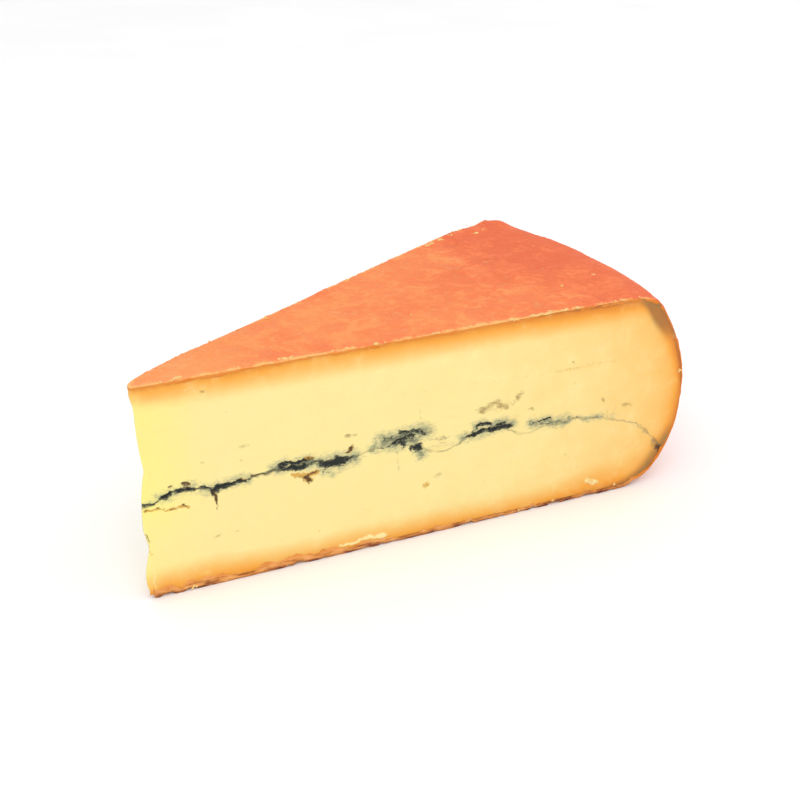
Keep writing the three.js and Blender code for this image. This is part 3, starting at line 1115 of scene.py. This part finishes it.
def crumb_surface(centres, sizes, turns, seed):
    """Small lumps: spheres of 6 rings by 8 points, stretched to each crumb's three sizes, dented by
    noise and turned about the upright, with their poles closed."""
    rings, around = 6, 8
    tilt = np.linspace(0, np.pi, rings + 1)[1:-1, None]
    turn = np.linspace(0, 2 * np.pi, around, endpoint=False)
    ball = np.stack([np.sin(tilt) * np.cos(turn), np.sin(tilt) * np.sin(turn), np.cos(tilt) + 0 * turn], -1)
    ball = np.concatenate([[[0, 0, 1]], ball.reshape(-1, 3), [[0, 0, -1]]])
    bodies = np.broadcast_to(ball, (len(centres),) + ball.shape)
    lumps = bodies * (1 + 0.7 * rough_noise(bodies * 0.9 + centres[:, None] * 900, 1.0, seed)[..., None])
    lumps = lumps * sizes[:, None]
    cos, sin = np.cos(turns)[:, None], np.sin(turns)[:, None]
    x, y = lumps[..., 0] * cos - lumps[..., 1] * sin, lumps[..., 0] * sin + lumps[..., 1] * cos
    surface = Surface()
    numbers = surface.add_points(np.stack([x, y, lumps[..., 2]], -1) + centres[:, None])

    # One crumb's faces, repeated for all: each crumb has a cell of its own in the map.
    cells = math.ceil(math.sqrt(len(centres)))
    ring_numbers = 1 + np.arange((rings - 1) * around).reshape(rings - 1, around)
    closed = np.concatenate([ring_numbers, ring_numbers[:, :1]], 1)
    for k in range(len(centres)):
        left, low, size = k % cells / cells, k // cells / cells, 0.92 / cells
        first, high = numbers[k, 0], low + 0.8 * size
        surface.add_grid(closed + first, (left, low, left + size, high))
        cap = (left, high, left + 0.4 * size, low + size)
        foot = (left + 0.5 * size, high, left + size, low + size)
        surface.add_pole(first, closed[0] + first, cap)
        surface.add_pole(first + len(ball) - 1, closed[-1] + first, foot, turned=True)
    return surface


def crumb_places(plan, draw):
    """Centres, sizes and turns of the flecks and crumbs that lie on the top, mostly at its edges, and
    of those that stick to the front cut."""
    half = plan.cuts.angle / 2
    centres, sizes, turns = [], [], []

    def lay(x, y, long, wide, turn):
        centres.append((plan.knife[0] + x, plan.knife[1] + y, plan.height - 0.08 * MM))
        sizes.append((long / 2, wide / 2, 0.2 * MM + 0.1 * wide))
        turns.append(turn)

    for along, up, size in CUT_CRUMBS:
        for _ in range(3):
            x, z = draw.normal(along, 0.3 * size), max(draw.normal(up, 0.3 * size), 0.6)
            centres.append((*(plan.knife + x * MM * plan.front), z * MM))
            sizes.append(np.array((draw.uniform(0.3, 0.6), 0.25, draw.uniform(0.2, 0.4))) * size * MM)
            turns.append(-half)

    for x, y, extent in TOP_FLECKS:
        edge_turn = -half if y < 0 else half
        for _ in range(5):
            shift = draw.normal(0, extent / 4)
            x_place, y_place = x + shift, y + shift * math.tan(edge_turn) + draw.normal(0, 0.3)
            long = draw.uniform(0.3, 0.75) * extent * MM
            wide = draw.uniform(0.4, 1.1) * MM
            lay(x_place * MM, y_place * MM, long, wide, edge_turn + draw.normal(0, 0.3))
    for side, first, last in ((-1, 14, 172), (1, 36, 180)):
        for _ in range(32):
            along, inset = draw.uniform(first, last), abs(draw.normal(0.2, 0.5))
            turn = side * half
            x = along * math.cos(turn) + inset * math.sin(half)
            y = along * math.sin(turn) - side * inset * math.cos(half)
            size = draw.uniform(0.2, 0.65) * MM
            lay(x * MM, y * MM, size * draw.uniform(1, 3), size, turn + draw.normal(0, 0.5))
    return np.array(centres), np.array(sizes), np.array(turns)


# ---------------------------------------------------------------------------------------------
# Materials
# ---------------------------------------------------------------------------------------------


class Signal:
    """What a socket gives out. Sums on signals that hold numbers add Math nodes."""

    def __init__(self, graph, socket):
        self.graph, self.socket = graph, socket

    def __add__(self, other):
        return self.graph.sum("ADD", self, other)

    def __sub__(self, other):
        return self.graph.sum("SUBTRACT", self, other)

    def __rsub__(self, other):
        return self.graph.sum("SUBTRACT", other, self)

    def __mul__(self, other):
        return self.graph.sum("MULTIPLY", self, other)

    def __truediv__(self, other):
        return self.graph.sum("DIVIDE", self, other)

    def __abs__(self):
        return self.graph.sum("ABSOLUTE", self)

    __radd__, __rmul__ = __add__, __mul__


class Graph:
    """A material's nodes, built by calls and by sums on their signals."""

    def __init__(self, name):
        self.material = bpy.data.materials.new(name)
        self.material.use_nodes = True
        self.tree = self.material.node_tree
        self.tree.nodes.clear()

    def add(self, kind, settings, inputs, output=0):
        """Adds a node of a kind, makes its settings, feeds its inputs and returns one output."""
        node = self.tree.nodes.new(kind)
        count = len(self.tree.nodes)
        node.location = (count // 8 * 220, -(count % 8) * 180)
        for name, value in settings.items():
            if name == "stops":
                self.set_stops(node.color_ramp, value)
            else:
                setattr(node, name, value)
        for key, value in inputs.items():
            if isinstance(value, Signal):
                self.tree.links.new(value.socket, node.inputs[key])
            else:
                node.inputs[key].default_value = value
        return Signal(self, node.outputs[output])

    @staticmethod
    def set_stops(ramp, stops):
        while len(ramp.elements) < len(stops):
            ramp.elements.new(1.0)
        for element, (place, shade) in zip(ramp.elements, stops):
            element.position = place
            element.color = (*shade, 1.0)

    def sum(self, operation, *values):
        return self.add("ShaderNodeMath", {"operation": operation}, dict(enumerate(values)))

    def larger(self, a, b):
        return self.sum("MAXIMUM", a, b)

    def place(self):
        return self.add("ShaderNodeTexCoord", {}, {}, "Object")

    def axis(self, name):
        return self.add("ShaderNodeSeparateXYZ", {}, {0: self.place()}, name)

    def field(self, name):
        return self.add("ShaderNodeAttribute", {"attribute_name": name}, {}, "Fac")

    def stretched(self, place, scale):
        return self.add("ShaderNodeVectorMath", {"operation": "MULTIPLY"}, {0: place, 1: scale})

    def noise(self, place, size, detail=2.0, roughness=0.5, distortion=0.0):
        """Noise centred on 0, from about -0.3 to 0.3, that changes over about size."""
        inputs = {
            "Vector": place,
            "Scale": 1 / size,
            "Detail": detail,
            "Roughness": roughness,
            "Distortion": distortion,
        }
        return self.add("ShaderNodeTexNoise", {}, inputs) - 0.5

    def cells(self, place, size, randomness=1.0):
        """Distance to the nearest of points strewn about size apart, in those sizes."""
        inputs = {"Vector": place, "Scale": 1 / size, "Randomness": randomness}
        return self.add("ShaderNodeTexVoronoi", {}, inputs, "Distance")

    def step(self, value, low, high):
        """0 at low and 1 at high, with an eased rise between them."""
        inputs = {"Value": value, "From Min": low, "From Max": high}
        return self.add("ShaderNodeMapRange", {"interpolation_type": "SMOOTHSTEP"}, inputs)

    def mix(self, below, above, amount):
        """Colour below with an amount of colour above laid over it."""
        inputs = {0: amount}
        for socket, shade in ((6, below), (7, above)):
            inputs[socket] = shade if isinstance(shade, Signal) else (*shade, 1.0)
        settings = {"data_type": "RGBA", "clamp_factor": True}
        return self.add("ShaderNodeMix", settings, inputs, 2)

    def ramp(self, value, stops):
        return self.add("ShaderNodeValToRGB", {"stops": stops}, {0: value})

    def bump(self, height, distance):
        return self.add("ShaderNodeBump", {}, {"Height": height, "Distance": distance, "Strength": 1.0})

    def finish(self, colour, roughness, normal, constants):
        """Feeds a Principled shader and returns the material."""
        inputs = {"Base Color": colour, "Roughness": roughness, "Normal": normal, **constants}
        shader = self.add("ShaderNodeBsdfPrincipled", {}, inputs)
        output = self.tree.nodes.new("ShaderNodeOutputMaterial")
        self.tree.links.new(shader.socket, output.inputs["Surface"])
        return self.material


def paste_material(paste, ash):
    """Satin paste: pale in the core, amber towards the rind, clouded and grained, with the ash line,
    its smears and dust, and the stains laid over it."""
    graph = Graph("cheese_paste")
    place = graph.place()
    clouds = graph.noise(place, 24 * MM, 3)
    patches = graph.noise(place, 6 * MM, 3)
    curds = graph.noise(place, 2 * MM, 4, 0.6)
    grain = graph.noise(place, 0.45 * MM, 2)
    drag = graph.noise(graph.stretched(place, (0.03, 0.03, 1)), 0.7 * MM, 3)

    ripe = graph.field("ripeness") + clouds * 0.18 + patches * 0.12 + curds * 0.05
    shade = graph.ramp(
        ripe,
        (
            (0.0, paste.brown),
            (0.1, paste.amber),
            (0.34, paste.gold),
            (0.66, paste.ripe),
            (1.0, paste.core),
        ),
    )
    # Painted light: the thin tip is painted a brighter yellow where light shines through it, more so higher
    # up and nearest the tip's edge.
    across = graph.axis("X")
    tip_share = graph.step(across, CAD_BOX[0].x + 22 * MM, CAD_BOX[0].x)
    upper = graph.step(graph.axis("Z"), 14 * MM, 30 * MM) * 0.6 + 0.3
    shade = graph.mix(shade, paste.tip, tip_share * graph.step(ripe, 0.5, 1.0) * upper)
    thin = graph.step(across, CAD_BOX[0].x + 5 * MM, CAD_BOX[0].x)
    shade = graph.mix(shade, paste.tip, thin * graph.step(ripe, 0.1, 0.4) * 0.3)
    shade = graph.mix(shade, paste.ripe, graph.step(clouds + drag * 0.3, 0.02, 0.32) * 0.15)
    shade = graph.mix(shade, paste.pale, graph.step(patches + curds * 0.4, 0.02, 0.4) * 0.3)
    pinholes = graph.step(graph.cells(place, 5.5 * MM), 0.06, 0.03) * graph.step(patches, 0.02, 0.1)
    shade = graph.mix(shade, paste.gold, pinholes * 0.5)

    # Painted shade under the top's shoulder and in the tuck above the base where they meet the rim, faint
    # marks, then ash dust, the ash line and thick ash.
    shreds = graph.noise(graph.stretched(place, (0.7, 0.7, 1.3)), 1.3 * MM, 3, 0.65)
    crumbs = graph.noise(graph.stretched(place, (0.8, 0.8, 2)), 0.6 * MM, 2)

    def broken(name, coarse, fine):
        """A mark's dose, broken up by noise that fades out with the mark."""
        dose = graph.field(name)
        return dose + (shreds * coarse + crumbs * fine) * graph.step(dose, 0.0, 0.3)

    # Painted shade where the top's shoulder and the tuck above the base meet the rim.
    darkened = graph.step(graph.field("tarnish") + patches * 0.3 + curds * 0.2, 0.12, 1.05)
    shoulder_shade_colour = graph.mix(paste.brown, ash.tarnish, graph.step(patches + clouds, -0.1, 0.3) * 0.5 + 0.4)
    shade = graph.mix(shade, shoulder_shade_colour, darkened * 0.9)
    smudge = graph.step(broken("smudge", 1.0, 0.6), 0.14, 0.85)
    shade = graph.mix(shade, ash.tarnish, smudge * 0.75)
    dust = broken("ash_haze", 0.8, 0.6)
    haze = graph.step(dust, 0.12, 0.95)
    shade = graph.mix(shade, ash.haze, haze * 0.85)
    shade = graph.mix(shade, ash.olive, graph.step(dust + patches * 0.4 + crumbs * 0.5, 0.55, 1.05) * 0.7)
    smear = broken("ash_smear", 0.9, 0.9)
    lumps = graph.step(graph.noise(place, 4 * MM, 2), -0.1, 0.2)
    half_width = lumps * 0.5 + 0.3
    wander = graph.field("ash_level") + shreds * 1.1 + crumbs * 0.6
    line = graph.step(abs(wander) / half_width, 1.3, 0.2) * graph.field("ash_line")
    shade = graph.mix(shade, ash.olive, line * 0.92)
    shade = graph.mix(shade, ash.olive, graph.step(smear, 0.2, 0.5) * 0.9)
    core = graph.step(smear + crumbs * 0.6, 0.38, 0.72)
    shade = graph.mix(shade, ash.ash, core * 0.95)

    # Golden cracks, pale scraps, then brown stains in the cavities.
    gilt = graph.step(broken("gilt", 0.6, 0.5), 0.15, 0.6)
    shade = graph.mix(shade, ash.gold, gilt * 0.85)
    shade = graph.mix(shade, paste.pale, graph.step(broken("scrap", 0.9, 0.7), 0.2, 0.7) * 0.9)
    stain = graph.step(broken("stain", 0.5, 0.4), 0.2, 0.72)
    shade = graph.mix(shade, ash.stain, stain * 0.95)

    dark = graph.larger(graph.larger(line, core), haze * 0.4)
    roughness = 0.42 + curds * 0.12 + dark * 0.3
    height = grain * 0.5 + curds * 0.8 + drag * 0.6 + crumbs * dark * 2.5
    normal = graph.bump(height, 0.1 * MM)
    constants = {
        "IOR": 1.42,
        "Specular IOR Level": 0.35,
        "Subsurface Weight": 0.25,
        "Subsurface Radius": (1.0, 0.62, 0.25),
        "Subsurface Scale": 0.002,
    }
    return graph.finish(shade, roughness, normal, constants)


def rind_material(rind):
    """Dry rubbed rind: orange near the tip and redder towards the rim, mottled, scuffed and speckled,
    brown under the base, and translucent gold where the cuts show it edge-on."""
    graph = Graph("cheese_rind")
    place = graph.place()
    across, height = graph.axis("X"), graph.axis("Z")
    clouds = graph.noise(place, 26 * MM, 3, 0.55)
    patches = graph.noise(place, 7 * MM, 4, 0.6, 0.6)
    flecks = graph.noise(place, 1.6 * MM, 4, 0.65)
    grain = graph.noise(place, 0.4 * MM, 3, 0.6)
    about_z = {"rotation_type": "Z_AXIS"}
    turned = graph.add("ShaderNodeVectorRotate", about_z, {"Vector": place, "Angle": 0.7})
    streaks = graph.noise(graph.stretched(turned, (0.14, 1, 1)), 0.9 * MM, 3, 0.6)

    # Redder in slow steps: up to the middle, again towards the rim, and most at the rim itself. Down
    # the side it is more mottled, with brown patches.
    near_rim = graph.step(across, 14 * MM, 84 * MM)
    outermost = graph.step(across, 66 * MM, 92 * MM)
    down_side = graph.step(height, 60 * MM, 44 * MM)
    towards_rim = graph.step(across, CAD_BOX[0].x, 0.0) * 0.4 + near_rim * 0.6
    mottle = clouds * 1.1 + patches * 1.9 + flecks * 1.2 + streaks * 0.2
    bloom = towards_rim * 0.8 + near_rim * 0.22 + outermost * 0.2 + mottle - down_side * 0.45
    shade = graph.ramp(bloom, ((0.0, rind.orange), (0.45, rind.salmon), (0.95, rind.red)))
    at_tip = graph.step(across, CAD_BOX[0].x + 45 * MM, CAD_BOX[0].x)
    scuffed = at_tip * 0.24 + down_side * 0.2 - near_rim * 0.22
    scuffs = patches * 1.3 + flecks * 1.1 + streaks * 0.4 + scuffed
    shade = graph.mix(shade, rind.peach, graph.step(scuffs, 0.02, 0.5) * 0.8)
    freckles = graph.step(flecks + patches * 0.7 + clouds * 0.4, 0.12, 0.4) * 0.7
    shade = graph.mix(shade, rind.red, freckles)
    browned = graph.step(patches + flecks * 0.9 + clouds * 1.2, -0.1, 0.35) * down_side
    shade = graph.mix(shade, graph.mix(rind.underside, rind.crust, browned * 0.4), browned * 0.55)
    pimples = graph.step(graph.cells(place, 9 * MM), 0.05, 0.02) * graph.step(clouds, -0.02, 0.08)
    shade = graph.mix(shade, rind.smeared, pimples * 0.7)

    # The underside and the tuck above it are browner, with dark specks.
    low = graph.step(height + patches * 4 * MM, 5 * MM, 0.6 * MM)
    rubbed = graph.step(patches * 1.2 + clouds, -0.1, 0.3)
    shade = graph.mix(shade, graph.mix(rind.underside, rind.crust, rubbed * 0.6), low * 0.85)
    scabs = graph.noise(place, 9 * MM, 2) + near_rim * 0.18
    specks = graph.step(flecks * 0.8 + scabs, 0.16, 0.36) * low
    shade = graph.mix(shade, rind.dark, specks * 0.8)

    # The cut edge: amber on top, and at the base a flaky crust that is darkest at the bottom. Paste is
    # smeared over the top's edge in patches.
    edge = graph.step(graph.field("cut_edge") + flecks * 0.5, 0.4, 0.7)
    flakes = graph.noise(graph.stretched(place, (0.3, 0.3, 1.4)), 1.6 * MM, 4, 0.6) * 2.6 + 0.66
    lowest = graph.step(height, 1.2 * MM, 0.2 * MM) * 0.3
    crust = graph.ramp(
        flakes - lowest - near_rim * 0.2 + graph.step(height, 1.3 * MM, 2.8 * MM) * 0.3,
        ((0.04, rind.dark), (0.3, rind.crust), (0.62, rind.underside), (1.0, rind.peach)),
    )
    shade = graph.mix(shade, graph.mix(rind.cut_edge, crust, low), edge * 0.92)
    high = graph.step(height, CAD_BOX[1].z - 2.4 * MM, CAD_BOX[1].z - 0.4 * MM)
    frayed = graph.field("edge_distance") + patches * 6.0 + flecks * 3.0
    fringe = graph.step(frayed, 1.2, -0.3) * high * (1.0 - edge * 0.8)
    shade = graph.mix(shade, rind.smeared, fringe * 0.66)

    roughness = 0.64 + patches * 0.15 + flecks * 0.2
    relief = flecks * 1.6 + grain * 0.5 + streaks * 0.5 + pimples * 2.0
    normal = graph.bump(relief, 0.18 * MM)
    constants = {
        "IOR": 1.42,
        "Specular IOR Level": 0.22,
        "Subsurface Weight": 0.12,
        "Subsurface Radius": (1.0, 0.5, 0.2),
        "Subsurface Scale": 0.0006,
    }
    return graph.finish(shade, roughness, normal, constants)


def crumb_material(rind, paste):
    """Dried flecks of paste: cream, with amber patches where they are thin."""
    graph = Graph("cheese_crumbs")
    place = graph.place()
    patches = graph.noise(place, 1.5 * MM, 3)
    grain = graph.noise(place, 0.3 * MM, 2)
    shade = graph.mix(rind.smeared, rind.peach, graph.step(patches, 0.0, 0.25) * 0.8)
    shade = graph.mix(shade, paste.core, graph.step(grain + patches, 0.05, 0.4) * 0.6)
    normal = graph.bump(grain, 0.08 * MM)
    constants = {"Specular IOR Level": 0.3, "Subsurface Weight": 0.2, "Subsurface Scale": 0.0006}
    return graph.finish(shade, 0.55 + patches * 0.2, normal, constants)


def floor_material(shade):
    """Matt white board with the faintest mottle."""
    graph = Graph("stage_floor")
    mottle = graph.noise(graph.place(), 120 * MM, 2)
    tint = tuple(c * 0.97 for c in shade)
    colour = graph.mix(shade, tint, graph.step(mottle, -0.2, 0.2))
    return graph.finish(colour, 0.8 + mottle * 0.05, graph.bump(mottle, 0.02 * MM), {})


# ---------------------------------------------------------------------------------------------
# Operators
# ---------------------------------------------------------------------------------------------


def outlines(scene):
    """The plan and the section from the scene's sizes."""
    plan = Plan(scene.cheese_wheel, scene.cheese_cuts)
    return plan, Section(scene.cheese_wheel, plan.height)


class CHEESE_OT_paste(bpy.types.Operator):
    """Makes the paste with its two cut faces, its tip and the ash line"""

    bl_idname = "cheese.paste"
    bl_label = "Paste"

    def execute(self, context):
        scene = context.scene
        plan, section = outlines(scene)
        surface, fields = paste_surface(plan, section, scene.cheese_rind, scene.cheese_fineness)
        material = paste_material(scene.cheese_paste, scene.cheese_ash)
        place_piece(make_piece("cheese_paste", surface, fields, material), True)
        return {"FINISHED"}


class CHEESE_OT_rind(bpy.types.Operator):
    """Makes the rind over the top, the rim and the base"""

    bl_idname = "cheese.rind"
    bl_label = "Rind"

    def execute(self, context):
        scene = context.scene
        plan, section = outlines(scene)
        surface, fields = rind_surface(plan, section, scene.cheese_rind, scene.cheese_fineness)
        material = rind_material(scene.cheese_rind)
        place_piece(make_piece("cheese_rind", surface, fields, material), True)
        return {"FINISHED"}


class CHEESE_OT_crumbs(bpy.types.Operator):
    """Strews flecks and crumbs of paste along the edges of the top"""

    bl_idname = "cheese.crumbs"
    bl_label = "Crumbs"

    def execute(self, context):
        scene = context.scene
        plan, _ = outlines(scene)
        surface = crumb_surface(*crumb_places(plan, np.random.default_rng(23)), 301)
        material = crumb_material(scene.cheese_rind, scene.cheese_paste)
        place_piece(make_piece("cheese_crumbs", surface, {}, material), False)
        return {"FINISHED"}


class CHEESE_OT_stage(bpy.types.Operator):
    """Sets up the floor, the soft lights, the white surround and the camera"""

    bl_idname = "cheese.stage"
    bl_label = "Stage"

    def execute(self, context):
        scene, look = context.scene, context.scene.cheese_stage
        self.lay_floor(look)
        self.hang_light("key_light", (-0.55, -0.75, 0.95), 0.9, look.key_power)
        self.hang_light("fill_light", (0.9, -0.35, 0.7), 0.9, look.fill_power)
        self.set_surround(scene, look.surround)
        self.place_camera(scene, look)
        scene.view_settings.view_transform = "Standard"
        return {"FINISHED"}

    @staticmethod
    def lay_floor(look):
        """A flat grid, 6 m square, whose top is at the base's height."""
        across = np.linspace(-3, 3, 13)
        x, y = np.meshgrid(across, across, indexing="ij")
        surface = Surface()
        index = surface.add_points(np.stack([x, y, np.full_like(x, CAD_BOX[0].z)], -1))
        surface.add_grid(index, (0, 0, 1, 1))
        make_piece("stage_floor", surface, {}, floor_material(look.floor))

    @staticmethod
    def hang_light(name, place, size, power):
        """A square soft light that looks at the wedge."""
        light = bpy.data.lights.new(name, "AREA")
        light.shape, light.size, light.energy = "SQUARE", size, power
        holder = bpy.data.objects.new(name, light)
        holder.location = place
        holder.rotation_euler = (-Vector(place)).to_track_quat("-Z", "Y").to_euler()
        bpy.context.scene.collection.objects.link(holder)

    @staticmethod
    def set_surround(scene, strength):
        world = bpy.data.worlds.new("white_surround")
        world.use_nodes = True
        background = world.node_tree.nodes["Background"]
        background.inputs["Color"].default_value = (1, 1, 1, 1)
        background.inputs["Strength"].default_value = strength
        scene.world = world

    @staticmethod
    def place_camera(scene, look):
        """The camera looks at a point just right of the wedge's middle and a little below its top."""
        low, high = CAD_BOX
        size = high - low
        target = (low + high) / 2 + Vector((0.0544 * size.x, 0.112 * size.y, -0.1123 * size.z))
        data = bpy.data.cameras.new("camera")
        data.lens, data.sensor_width = look.focal_length, 36
        data.clip_start = 0.01
        camera = bpy.data.objects.new("camera", data)
        turn = Matrix.Rotation(look.azimuth, 4, "Z") @ Matrix.Rotation(math.pi / 2 - look.elevation, 4, "X")
        turn = turn @ Matrix.Rotation(look.roll, 4, "Z")
        away = turn.to_3x3() @ Vector((0, 0, look.distance))
        camera.matrix_world = Matrix.Translation(target + away) @ turn
        scene.collection.objects.link(camera)
        scene.camera = camera


class CHEESE_PT_wedge(bpy.types.Panel):
    """Lists the wedge's sizes, colours and steps"""

    bl_idname = "CHEESE_PT_wedge"
    bl_label = "Cheese Wedge"
    bl_space_type = "VIEW_3D"
    bl_region_type = "UI"
    bl_category = "Cheese"

    def draw(self, context):
        for name, label in GROUPS.items():
            group = getattr(context.scene, name)
            box = self.layout.box()
            box.label(text=label)
            for prop in group.bl_rna.properties:
                if not prop.is_readonly and prop.identifier != "name":
                    box.prop(group, prop.identifier)
        for operator in OPERATORS:
            self.layout.operator(operator.bl_idname)


GROUPS = {
    "cheese_wheel": "Wheel",
    "cheese_cuts": "Cuts",
    "cheese_rind": "Rind",
    "cheese_paste": "Paste",
    "cheese_ash": "Ash",
    "cheese_stage": "Stage",
    "cheese_fineness": "Fineness",
}
GROUP_TYPES = (WheelSizes, CutSizes, RindLook, PasteLook, AshLook, StageLook, MeshFineness)
OPERATORS = (CHEESE_OT_paste, CHEESE_OT_rind, CHEESE_OT_crumbs, CHEESE_OT_stage)
CLASSES = (*GROUP_TYPES, *OPERATORS, CHEESE_PT_wedge)


def register():
    for cls in CLASSES:
        bpy.utils.register_class(cls)
    for name, cls in zip(GROUPS, GROUP_TYPES):
        setattr(bpy.types.Scene, name, PointerProperty(type=cls))


def unregister():
    for name in GROUPS:
        delattr(bpy.types.Scene, name)
    for cls in reversed(CLASSES):
        bpy.utils.unregister_class(cls)


def main():
    register()
    bpy.ops.cheese.paste()
    bpy.ops.cheese.rind()
    bpy.ops.cheese.crumbs()
    bpy.ops.cheese.stage()


if __name__ == "__main__":
    main()
